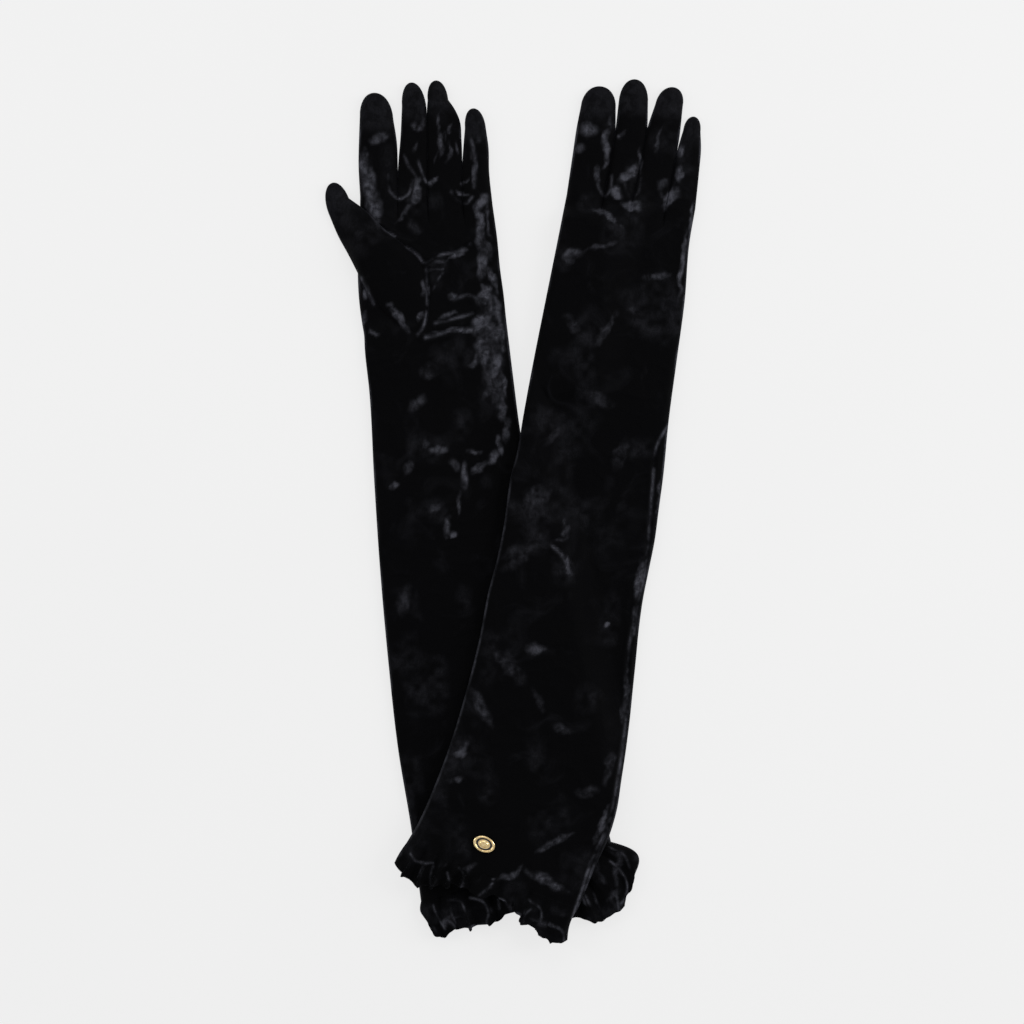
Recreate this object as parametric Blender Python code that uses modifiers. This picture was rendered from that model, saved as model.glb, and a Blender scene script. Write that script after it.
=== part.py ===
"""A pair of velvet opera gloves, laid flat with one crossed over the other.

Metres, +Z up. The gloves lie on z = 0 with their fingers towards +Y. The left-hand glove lies palm up at the
bottom. The right-hand glove lies palm down, and its sleeve crosses over the sleeve of the left one.
Each glove is cut as panels: a palm and a back panel, two panels for each finger, strips (fourchettes) between
the fingers, a set-in thumb, and a cuff with an elastic band in a casing and a gathered frill below it.
"""
import math

import bmesh
import bpy
from mathutils import Matrix, Vector

# ---- driving dimensions ------------------------------------------------------------------------------------
VELVET = 0.0008            # thickness of a velvet panel
GAP = 0.0004               # clearance between two pieces
HAND_HEIGHT = 0.0095       # outside height of hand and sleeve, lying flat
CUFF_HEIGHT = 0.0110       # outside height at the elastic
FINGER_HEIGHT = 0.0080     # outside height of a finger stall
THUMB_HEIGHT = 0.0070      # outside height of a thumb stall
OVER_LOWER = CUFF_HEIGHT + 0.0008      # how far the upper glove is lifted where it lies on the lower one
OVER_THUMB = THUMB_HEIGHT + 0.0008     # how far its palm is lifted where it lies on its own thumb
# Where the upper glove comes down again, as (start, span): past the lower sleeve's right edge, and above y.
DOWN_BESIDE_SLEEVE = (0.006, 0.026)
DOWN_ABOVE_CROSSING = (0.100, 0.060)
# Where its palm rises on to its thumb (y), comes down past the thumb's tip (y) and beside it (share across).
UP_ON_THUMB = (0.060, 0.034)
DOWN_PAST_THUMB = (0.200, 0.012)
DOWN_BESIDE_THUMB = (0.40, 0.26)
FULL_CUFF_STATIONS = 0.45  # the sleeve keeps its cuff height up to this station

KNUCKLE_SPLITS = (0.0, 0.29, 0.51, 0.78, 1.0)      # where the fingers part, as shares of the knuckle line
FINGER_SIDE = 0.0004       # what each finger leaves free on each side
ROOT_SPACE = 0.0012        # between the hand's edge and the fingers' edge at the knuckle line
FINGERS = ("index", "middle", "ring", "little")

STALL_WALL = 0.0007        # a fourchette's thickness
WALL_INSET = 0.0014        # how far a fourchette stands inside its finger's edge
SIDE_LEVEL = 0.80          # height of a stall's edge over a fourchette, as a share of the rise

BAND_WIDTH = 0.008         # elastic band
BAND_THICK = 0.0007
CASING_WIDTH = 0.013       # tape that closes the band in
CASING_THICK = 0.0005
BAND_SETBACK = 0.007       # from the gathered edge to the middle of the band
BAND_SPREAD = 0.440        # half of the flattened loop's width, as a share of the cuff's width
CASING_SPREAD = 0.424
RING_POINTS = 24
FRILL_WAVES = 6
FRILL_WAVE = 0.0011
FRILL_STOPS = (0.02, 0.35, 0.7, 1.0)   # rows of a frill, from the gathered edge to the hem

PLAQUE_LENGTH = 0.0150     # oval plaque on the upper glove's cuff
PLAQUE_WIDTH = 0.0100
PLAQUE_THICK = 0.0012
PLAQUE_AT = (-0.019, -0.226)
PLAQUE_TURN = math.radians(-22)
POST_RADIUS = 0.0006
POST_SPACING = 0.0070
POST_HOLE = POST_RADIUS + GAP

# ---- the two gloves ----------------------------------------------------------------------------------------
# "sides" are the outline's two edges, from the gathered cuff edge to the knuckle line: (left x, y, right x, y).
# "tips" are the fingertips' (x, y, width). "hem" is the frill's free edge: (left x, y, right x, y). "rows" is how
# many rows a panel has between two stations.
LEFT = {
    "name": "left", "upper_panel": "palm", "under_panel": "back",
    "sides": ((-0.062, -0.268, 0.068, -0.227), (-0.075, -0.184, 0.050, -0.153),
              (-0.086, -0.088, 0.031, -0.064), (-0.094, 0.008, 0.012, 0.025),
              (-0.098, 0.082, 0.000, 0.096), (-0.102, 0.123, -0.003, 0.130),
              (-0.105, 0.163, -0.008, 0.167), (-0.104, 0.217, -0.014, 0.212)),
    "tips": ((-0.094, 0.287, 0.025), (-0.069, 0.294, 0.0165), (-0.0475, 0.296, 0.021), (-0.025, 0.277, 0.0165)),
    "hem": (-0.056, -0.292, 0.084, -0.250),
    "thumb_root": (-0.093, 0.141, -0.060, 0.166), "thumb_tip": (-0.1250, 0.2255, 0.015),
    "thumb_hole": (-0.0850, 0.1700), "hole_size": (0.020, 0.012),
    "rows": 2,
}
RIGHT = {
    "name": "right", "upper_panel": "back", "under_panel": "palm",
    "sides": ((-0.072, -0.226, 0.045, -0.270), (-0.051, -0.178, 0.074, -0.198),
              (-0.030, -0.105, 0.082, -0.129), (-0.010, -0.034, 0.093, -0.054),
              (0.001, 0.029, 0.102, 0.010), (0.010, 0.075, 0.107, 0.060),
              (0.019, 0.121, 0.114, 0.108), (0.027, 0.166, 0.120, 0.156),
              (0.038, 0.219, 0.126, 0.209)),
    "tips": ((0.060, 0.292, 0.023), (0.083, 0.297, 0.021), (0.107, 0.292, 0.021), (0.125, 0.271, 0.012)),
    "hem": (-0.078, -0.244, 0.037, -0.294),
    "thumb_root": (0.0225, 0.1135, 0.0475, 0.1090), "thumb_tip": (0.0490, 0.1940, 0.014),
    "thumb_hole": (0.0375, 0.1280), "hole_size": (0.014, 0.012),
    "rows": 3,
}
ACROSS = (0.0, 0.03, 0.08, 0.17, 0.30, 0.43, 0.57, 0.70, 0.83, 0.92, 0.97, 1.0)      # columns of a hand panel
ACROSS_FINGER = (-1.0, -0.82, -0.45, 0.0, 0.45, 0.82, 1.0)                          # columns of a finger panel
EDGE_POWER = 8             # how late a panel turns down to its edge seam
ALONG_FINGER = (0, 0.2, 0.4, 0.6, 0.8, 1.0)        # rows of a stall up to where its tip turns round
AROUND_TIP = (0.45, 0.8, 0.985)                    # rows over the round tip, as shares of its radius
HOOD_RISE = 0.25           # how low a thumb's outer panel starts over the thumb hole
THUMB_REST = 0.0012        # the left thumb's height over the table past the hand
THUMB_DROOP = (0.002, 0.018)           # where it comes down from the palm: start and span past the hand's edge
CUT_DEPTH = 0.006          # depth of a cutter that goes through one panel


# ---- helpers -----------------------------------------------------------------------------------------------
def lerp(a, b, t):
    return a + (b - a) * t


def smooth(t):
    t = min(1.0, max(0.0, t))
    return t * t * (3 - 2 * t)


def ramp(value, start_span):
    """0 before a start and 1 past its span, with a smooth turn at both ends."""
    start, span = start_span
    return smooth((value - start) / span)


def catmull(points, t):
    """Point at t (0 to len - 1) on the smooth curve through the points."""
    k = min(int(t), len(points) - 2)
    f = t - k
    p0, p1 = points[max(k - 1, 0)], points[k]
    p2, p3 = points[k + 1], points[min(k + 2, len(points) - 1)]
    return 0.5 * (2 * p1 + (p2 - p0) * f + (2 * p0 - 5 * p1 + 4 * p2 - p3) * f ** 2
                  + (3 * p1 - p0 - 3 * p2 + p3) * f ** 3)


def edges(glove, t):
    """The outline's left and right points at station t."""
    left = [Vector(s[:2]) for s in glove["sides"]]
    right = [Vector(s[2:]) for s in glove["sides"]]
    return catmull(left, t), catmull(right, t)


def edge_x(glove, side, y):
    """x of the outline's left (0) or right (1) edge at height y, from its straight stretches."""
    points = [s[2 * side:2 * side + 2] for s in glove["sides"]]
    if y <= points[0][1]:
        return lerp(points[0][0], points[1][0], (y - points[0][1]) / (points[1][1] - points[0][1]))
    for (x0, y0), (x1, y1) in zip(points, points[1:]):
        if y <= y1:
            return lerp(x0, x1, (y - y0) / (y1 - y0))
    return points[-1][0]


def lift(glove, x, y):
    """How far the lower skin of a glove is above the table at (x, y)."""
    if glove is LEFT:
        return 0.0
    outside_lower = x - edge_x(LEFT, 1, y)
    on_lower = OVER_LOWER * (1 - ramp(outside_lower, DOWN_BESIDE_SLEEVE)) * (1 - ramp(y, DOWN_ABOVE_CROSSING))
    across = (x - edge_x(RIGHT, 0, y)) / (edge_x(RIGHT, 1, y) - edge_x(RIGHT, 0, y))
    on_thumb = OVER_THUMB * (1 - ramp(across, DOWN_BESIDE_THUMB))
    on_thumb *= ramp(y, UP_ON_THUMB) * (1 - ramp(y, DOWN_PAST_THUMB))
    return max(on_lower, on_thumb)


def hand_height(t):
    """Outside height of the sleeve at station t: full cuff height over the first half station."""
    return lerp(CUFF_HEIGHT, HAND_HEIGHT, smooth(t - FULL_CUFF_STATIONS))


def material(name, colour, roughness, metallic=0.0):
    found = bpy.data.materials.get(name)
    if found:
        return found
    mat = bpy.data.materials.new(name)
    mat.use_nodes = True
    shader = mat.node_tree.nodes["Principled BSDF"]
    shader.inputs["Base Color"].default_value = (*colour, 1)
    shader.inputs["Roughness"].default_value = roughness
    shader.inputs["Metallic"].default_value = metallic
    return mat


def velvet():
    return material("black_velvet", (0.010, 0.010, 0.012), 0.85)


def add_object(name, mesh, mat, collection="opera_gloves"):
    obj = bpy.data.objects.new(name, mesh)
    mesh.materials.append(mat)
    bpy.data.collections[collection].objects.link(obj)
    return obj


def sheet(name, rows, thickness, mat, closed=False):
    """A cloth sheet through a grid of middle points, given its thickness by Solidify."""
    bm = bmesh.new()
    grid = [[bm.verts.new(p) for p in row] for row in rows]
    for low, high in zip(grid, grid[1:]):
        count = len(low)
        for i in range(count if closed else count - 1):
            j = (i + 1) % count
            bm.faces.new((low[i], low[j], high[j], high[i]))
    mesh = bpy.data.meshes.new(name)
    bm.to_mesh(mesh)
    bm.free()
    mesh.shade_smooth()
    obj = add_object(name, mesh, mat)
    solid = obj.modifiers.new("thickness", "SOLIDIFY")
    solid.thickness = thickness
    solid.offset = 0
    return obj


def hinge_on(obj, point):
    """Puts an object's origin on its joint's axis, leaving its shape in place."""
    obj.data.transform(Matrix.Translation(-Vector(point)))
    obj.location = point


def cutter(name, place, size, height):
    bm = bmesh.new()
    bmesh.ops.create_cone(bm, cap_ends=True, segments=20, radius1=1, radius2=1, depth=1)
    bmesh.ops.scale(bm, vec=(size[0] / 2, size[1] / 2, height), verts=bm.verts)
    mesh = bpy.data.meshes.new(name)
    bm.to_mesh(mesh)
    bm.free()
    obj = add_object(name, mesh, material("cutter", (0.8, 0.1, 0.1), 0.5), "cutters")
    obj.location = place
    obj.hide_render = True
    obj.display_type = "WIRE"
    return obj


def cut(obj, tool):
    mod = obj.modifiers.new("cut", "BOOLEAN")
    mod.operation = "DIFFERENCE"
    mod.object = tool


# ---- hand and sleeve ---------------------------------------------------------------------------------------
def vault(share, height, base):
    """Middle height of the upper panel: it turns down to the lower panel at both edges."""
    low = base + 1.5 * VELVET + GAP
    top = base + height - VELVET / 2
    return lerp(low, top, 1 - abs(2 * share - 1) ** EDGE_POWER)


def panel_rows(glove, upper):
    rows = []
    steps = (len(glove["sides"]) - 1) * glove["rows"]
    for k in range(steps + 1):
        t = k / glove["rows"]
        left, right = edges(glove, t)
        row = []
        for share in ACROSS:
            x, y = left.lerp(right, share)
            base = lift(glove, x, y)
            z = vault(share, hand_height(t), base) if upper else base + VELVET / 2
            row.append((x, y, z))
        rows.append(row)
    return rows


def hand_panels(glove):
    for upper in (True, False):
        side = glove["upper_panel"] if upper else glove["under_panel"]
        obj = sheet(f"{glove['name']}_{side}_panel", panel_rows(glove, upper), VELVET, velvet())
        if side == "palm":
            x, y = glove["thumb_hole"]
            z = lift(glove, x, y) + (HAND_HEIGHT if upper else 0)
            hole = cutter(f"{glove['name']}_thumb_hole", (x, y, z), glove["hole_size"], CUT_DEPTH)
            hole.rotation_euler.z = thumb_turn(glove)
            cut(obj, hole)
        if side == "back" and glove is RIGHT:
            for tool in post_holes():
                cut(obj, tool)


# ---- finger and thumb stalls -------------------------------------------------------------------------------
def stall(root_left, root_right, tip, tip_width):
    """Rows of a stall's plan: centre, half width, direction across, share of the full height."""
    root_left, root_right, tip = Vector(root_left), Vector(root_right), Vector(tip)
    root = (root_left + root_right) / 2
    along = tip - root
    length = along.length
    along.normalize()
    across_tip = Vector((along.y, -along.x))
    across_root = (root_right - root_left).normalized()
    round_from = length - tip_width / 2
    plan = [(s * round_from, 0.0) for s in ALONG_FINGER] + [(0, q) for q in AROUND_TIP]
    rows = []
    for distance, q in plan:
        if q:
            distance = round_from + q * tip_width / 2
        share = distance / length
        half = lerp((root_right - root_left).length, tip_width, min(1, distance / round_from)) / 2
        half *= math.sqrt(1 - q * q)
        across = across_root.lerp(across_tip, smooth(share * 2)).normalized()
        rows.append((root + along * distance, half, across, math.sqrt(1 - q * q) if q else 1.0))
    return rows


def stall_sheet(name, plan, base, height, walls, upper, hood=False):
    """One panel of a stall. walls says on which sides (left, right) the panel stands over a fourchette."""
    rows = []
    for k, (centre, half, across, fullness) in enumerate(plan):
        row = []
        for share in ACROSS_FINGER:
            p = centre + across * half * share
            z0 = base(p.x, p.y)
            level = SIDE_LEVEL if walls[0 if share < 0 else 1] and k <= 4 else 0.0
            rise = 1 - (1 - level) * abs(share) ** EDGE_POWER
            if hood and k == 0:
                rise *= HOOD_RISE
            low = z0 + 1.5 * VELVET + GAP
            top = z0 + height - VELVET / 2
            row.append((p.x, p.y, lerp(low, top, rise * fullness) if upper else z0 + VELVET / 2))
        rows.append(row)
    return sheet(name, rows, VELVET, velvet())


def fourchette(name, plan, side, base, height):
    """Strip that stands between a finger's two panels, on its left (-1) or right (1) side."""
    low_z = VELVET + GAP
    low = 1.5 * VELVET + GAP
    high_z = lerp(low, height - VELVET / 2, SIDE_LEVEL) - VELVET / 2 - GAP
    rows = []
    for k, (centre, half, across, _) in enumerate(plan[:5]):
        p = centre + across * side * (half - WALL_INSET)
        if k == 0:
            p = p.lerp(plan[1][0] + plan[1][2] * side * (plan[1][1] - WALL_INSET), 0.04)
        z0 = base(p.x, p.y)
        rows.append([(p.x, p.y, z0 + low_z), (p.x, p.y, z0 + lerp(high_z, low_z + 0.002, (k == 4) * 0.6))])
    return sheet(name, rows, STALL_WALL, velvet())


def knuckle_line(glove):
    left, right = edges(glove, len(glove["sides"]) - 1)
    ahead = Vector((left.y - right.y, right.x - left.x)).normalized()
    return left, right, ahead


def finger_root(glove, k):
    left, right, ahead = knuckle_line(glove)
    along = (right - left).normalized()
    a = left.lerp(right, KNUCKLE_SPLITS[k]) + along * FINGER_SIDE + ahead * ROOT_SPACE
    b = left.lerp(right, KNUCKLE_SPLITS[k + 1]) - along * FINGER_SIDE + ahead * ROOT_SPACE
    return a, b


def on_table(x, y):
    return 0.0


def fingers(glove):
    for k, finger in enumerate(FINGERS):
        a, b = finger_root(glove, k)
        tip = glove["tips"][k]
        plan = stall(a, b, tip[:2], tip[2])
        walls = (k > 0, k < 3)
        made = []
        for upper in (True, False):
            side = glove["upper_panel"] if upper else glove["under_panel"]
            made.append(stall_sheet(f"{glove['name']}_{finger}_{side}_panel", plan, on_table, FINGER_HEIGHT,
                                    walls, upper))
        for side, other in ((-1, k - 1), (1, k + 1)):
            if 0 <= other < len(FINGERS):
                name = f"{glove['name']}_{finger}_fourchette_to_{FINGERS[other]}"
                made.append(fourchette(name, plan, side, on_table, FINGER_HEIGHT))
        hinge = ((a + b) / 2).to_3d()
        hinge.z = HAND_HEIGHT
        for obj in made:
            hinge_on(obj, hinge)


def thumb_turn(glove):
    root = glove["thumb_root"]
    return math.atan2(root[3] - root[1], root[2] - root[0])


def left_thumb_base(x, y):
    """The left thumb lies on its palm, and droops to the table past the edge of the hand."""
    outside = edge_x(LEFT, 0, y) - x
    return lerp(HAND_HEIGHT + GAP, THUMB_REST, ramp(outside, THUMB_DROOP))


def thumb(glove):
    """Inner panel faces the palm and leaves the thumb hole free; the outer one covers it."""
    root, tip = glove["thumb_root"], glove["thumb_tip"]
    plan = stall(root[:2], root[2:], tip[:2], tip[2])
    base = left_thumb_base if glove is LEFT else on_table
    outer_is_upper = glove is LEFT
    outer = stall_sheet(f"{glove['name']}_thumb_outer_panel", plan, base, THUMB_HEIGHT, (False, False),
                        outer_is_upper, hood=True)
    inner = stall_sheet(f"{glove['name']}_thumb_inner_panel", plan[2:], base, THUMB_HEIGHT, (False, False),
                        not outer_is_upper)
    hinge = Vector((root[0] + root[2], root[1] + root[3], 0)) / 2
    hinge.z = HAND_HEIGHT + GAP if glove is LEFT else 0.0
    for obj in (outer, inner):
        hinge_on(obj, hinge)


# ---- cuff --------------------------------------------------------------------------------------------------
def ring_rows(glove, inset, width, half_share):
    """A flattened loop inside the cuff: two rows of points round a rounded oblong."""
    first_station = (edges(glove, 1)[0] - edges(glove, 0)[0]).length
    rows = []
    for offset in (-width / 2, width / 2):
        a, b = edges(glove, (BAND_SETBACK + offset) / first_station)
        row = []
        for k in range(RING_POINTS):
            angle = 2 * math.pi * k / RING_POINTS
            c, s = math.cos(angle), math.sin(angle)
            share = 0.5 + half_share * math.copysign(abs(c) ** 0.8, c)
            x, y = a.lerp(b, share)
            z = CUFF_HEIGHT / 2 + (CUFF_HEIGHT / 2 - inset) * math.copysign(abs(s) ** 0.8, s)
            row.append((x, y, z + lift(glove, x, y)))
        rows.append(row)
    return rows


def elastic(glove):
    inset = VELVET + GAP + BAND_THICK / 2
    rows = ring_rows(glove, inset, BAND_WIDTH, BAND_SPREAD)
    sheet(f"{glove['name']}_elastic_band", rows, BAND_THICK,
          material("black_elastic", (0.02, 0.02, 0.02), 0.7), closed=True)
    inset += BAND_THICK / 2 + GAP + CASING_THICK / 2
    rows = ring_rows(glove, inset, CASING_WIDTH, CASING_SPREAD)
    sheet(f"{glove['name']}_elastic_casing", rows, CASING_THICK,
          material("black_tape", (0.015, 0.015, 0.017), 0.6), closed=True)


def frill_rows(glove, upper):
    left, right = edges(glove, 0)
    hem_left, hem_right = Vector(glove["hem"][:2]), Vector(glove["hem"][2:])
    cells = FRILL_WAVES * 4
    rows = []
    for r in FRILL_STOPS:
        row = []
        for i in range(cells + 1):
            share = i / cells
            start, end = left.lerp(right, share), hem_left.lerp(hem_right, share)
            x, y = start.lerp(end, r)
            wave = FRILL_WAVE * smooth(r) * (0.5 - 0.5 * math.cos(2 * math.pi * FRILL_WAVES * share))
            inside = 1 - abs(2 * share - 1) ** 4
            base = lift(glove, x, y)
            z = vault(share, CUFF_HEIGHT, base) - wave * inside if upper else base + VELVET / 2 + wave * inside
            row.append((x, y, z))
        rows.append(row)
    return rows


def frill(glove):
    for upper in (True, False):
        side = glove["upper_panel"] if upper else glove["under_panel"]
        sheet(f"{glove['name']}_frill_{side}_side", frill_rows(glove, upper), VELVET, velvet())


# ---- plaque ------------------------------------------------------------------------------------------------
def plaque_level():
    return OVER_LOWER + CUFF_HEIGHT + GAP


def post_places():
    step = Vector((math.cos(PLAQUE_TURN), math.sin(PLAQUE_TURN))) * POST_SPACING / 2
    centre = Vector(PLAQUE_AT)
    return centre - step, centre + step


def post_holes():
    holes = []
    for k, (x, y) in enumerate(post_places()):
        size = (2 * POST_HOLE, 2 * POST_HOLE)
        holes.append(cutter(f"post_hole_{k}", (x, y, plaque_level() - GAP - VELVET), size, CUT_DEPTH))
    return holes


def disc(name, length, width, depth, place, mat, segments=32):
    bm = bmesh.new()
    bmesh.ops.create_cone(bm, cap_ends=True, segments=segments, radius1=1, radius2=1, depth=1)
    bmesh.ops.scale(bm, vec=(length / 2, width / 2, depth), verts=bm.verts)
    mesh = bpy.data.meshes.new(name)
    bm.to_mesh(mesh)
    bm.free()
    obj = add_object(name, mesh, mat)
    obj.location = place
    obj.rotation_euler.z = PLAQUE_TURN
    return obj


def plaque():
    gold = material("gold_metal", (0.83, 0.62, 0.30), 0.25, 1.0)
    x, y = PLAQUE_AT
    top = plaque_level()
    plate = disc("plaque", PLAQUE_LENGTH, PLAQUE_WIDTH, PLAQUE_THICK, (x, y, top + PLAQUE_THICK / 2), gold)
    bevel = plate.modifiers.new("edge", "BEVEL")
    bevel.width = 0.0003
    bevel.segments = 1
    backing_top = top - 2 * GAP - VELVET
    backing_thick = 0.0006
    post_low = backing_top - backing_thick
    for k, (px, py) in enumerate(post_places()):
        height = top - post_low + PLAQUE_THICK / 2
        post = cutter(f"plaque_post_{k}", (px, py, post_low + height / 2),
                      (2 * POST_RADIUS, 2 * POST_RADIUS), height)
        join = plate.modifiers.new("post", "BOOLEAN")
        join.operation = "UNION"
        join.object = post
    backing = disc("plaque_backing", PLAQUE_LENGTH - 0.003, PLAQUE_WIDTH - 0.003, backing_thick,
                   (x, y, backing_top - backing_thick / 2), gold, segments=24)
    for k, (px, py) in enumerate(post_places()):
        size = (2 * POST_HOLE, 2 * POST_HOLE)
        cut(backing, cutter(f"backing_hole_{k}", (px, py, backing_top), size, 0.004))


# ---- the pair ----------------------------------------------------------------------------------------------
def clear_scene():
    for obj in list(bpy.data.objects):
        bpy.data.objects.remove(obj, do_unlink=True)
    for name in ("opera_gloves", "cutters"):
        collection = bpy.data.collections.new(name)
        bpy.context.scene.collection.children.link(collection)


def main():
    clear_scene()
    for glove in (LEFT, RIGHT):
        hand_panels(glove)
        fingers(glove)
        thumb(glove)
        elastic(glove)
        frill(glove)
    plaque()


main()
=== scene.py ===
"""A pair of crushed black velvet opera gloves lying flat, the right-hand one crossed over the left-hand one.

The sleeve, hand and fingers of a glove are one skin of cloth: a ring of points runs round the flattened
sleeve and hand, parts into four fingers at the knuckles, and each finger closes at its tip. The thumb and the
gathered frill are skins of their own. Plans are in millimetres, meshes in metres.
"""
import math

import bpy
import numpy as np
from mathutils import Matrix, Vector


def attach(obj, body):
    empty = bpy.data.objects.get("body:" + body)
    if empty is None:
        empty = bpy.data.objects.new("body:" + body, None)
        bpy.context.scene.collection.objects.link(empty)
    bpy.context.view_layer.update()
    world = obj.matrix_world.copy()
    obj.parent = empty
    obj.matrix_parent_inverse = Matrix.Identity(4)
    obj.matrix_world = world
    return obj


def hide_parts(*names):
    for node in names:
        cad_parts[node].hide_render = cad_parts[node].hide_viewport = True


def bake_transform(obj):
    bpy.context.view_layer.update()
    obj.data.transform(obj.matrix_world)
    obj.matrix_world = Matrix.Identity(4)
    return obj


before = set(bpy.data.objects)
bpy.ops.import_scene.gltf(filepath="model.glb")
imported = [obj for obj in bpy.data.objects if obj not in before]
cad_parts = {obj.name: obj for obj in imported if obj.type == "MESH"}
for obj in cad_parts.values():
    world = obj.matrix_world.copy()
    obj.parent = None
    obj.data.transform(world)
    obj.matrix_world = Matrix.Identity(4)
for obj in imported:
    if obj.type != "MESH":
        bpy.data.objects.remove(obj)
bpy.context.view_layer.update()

MM = 0.001

# ---- sizes, in millimetres ----
CUFF_HEIGHT = 10.8  # outside height of the sleeve at its cuff
HAND_HEIGHT = 9.0  # of the sleeve and the hand
FINGER_HEIGHT = 7.8
THUMB_HEIGHT = 6.8
OVER_LOWER = 11.8  # how far the upper glove is lifted where it lies on the lower one
OVER_THUMB = 7.8  # how far its palm is lifted where it lies on its own thumb
DOWN_BESIDE_SLEEVE = (6.0, 26.0)  # (start, span) of where it comes down again
DOWN_ABOVE_CROSSING = (100.0, 60.0)
UP_ON_THUMB = (60.0, 34.0)
DOWN_PAST_THUMB = (200.0, 12.0)
DOWN_BESIDE_THUMB = (0.40, 0.26)

EDGE_RADIUS = 5.5  # how far in from a folded edge the cloth has turned level
UNDER_RADIUS = 4.0
EDGE_LEVEL = 0.42  # height of a folded edge's upper side, as a share of the glove's height
UNDER_LEVEL = 0.30  # and of its lower side
VALLEY_LEVEL = 0.60  # and of the valley between two fingers at the knuckles
TIP_LEVEL = 0.40  # and of a fingertip
FLOOR_GAP = 0.3
LEAST_INSIDE = 1.2  # between the upper and the lower side
FOLDS_PAST_CUFF = (6.0, 30.0)  # (start, span) over which the sleeve's own folds begin
PARTING = 7.0  # over which two neighbouring fingers part
WEB_AHEAD = 0.9  # of the skin between two fingers
THINNER_PAST_KNUCKLES = (0.0, 18.0)  # where the hand's height becomes the fingers'
CALM_TIP = (-14.0, 12.0)  # where a fingertip's folds end, from its last station

# ---- shares of the length from cuff to knuckles: (start, span) ----
FLATTER_PAST_CUFF = (0.05, 0.10)
COLUMNS_FAN_OUT = (0.86, 0.13)  # where the columns line up with the fingers
FINGERS_RISE = (0.955, 0.045)  # where the fingers' own shapes begin

# ---- the skin's points, and what it is cut from ----
ROWS = 400  # along the sleeve and hand
COLUMNS = (34, 27, 32, 27)  # over the index, middle, ring and little finger
ALL_COLUMNS = sum(COLUMNS)
FINGER_CROWDING = 0.5  # how far a finger's columns crowd towards its sides
FINGER_STEP = 1.25  # between a finger's rows
TIP_ROWS = 14
SAMPLES = 200  # along an edge's curve
TIP_TONE = 0.080  # even level of painted sheen laid over a fingertip's smooth pile
FINGERS = ("index", "middle", "ring", "little")
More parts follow.
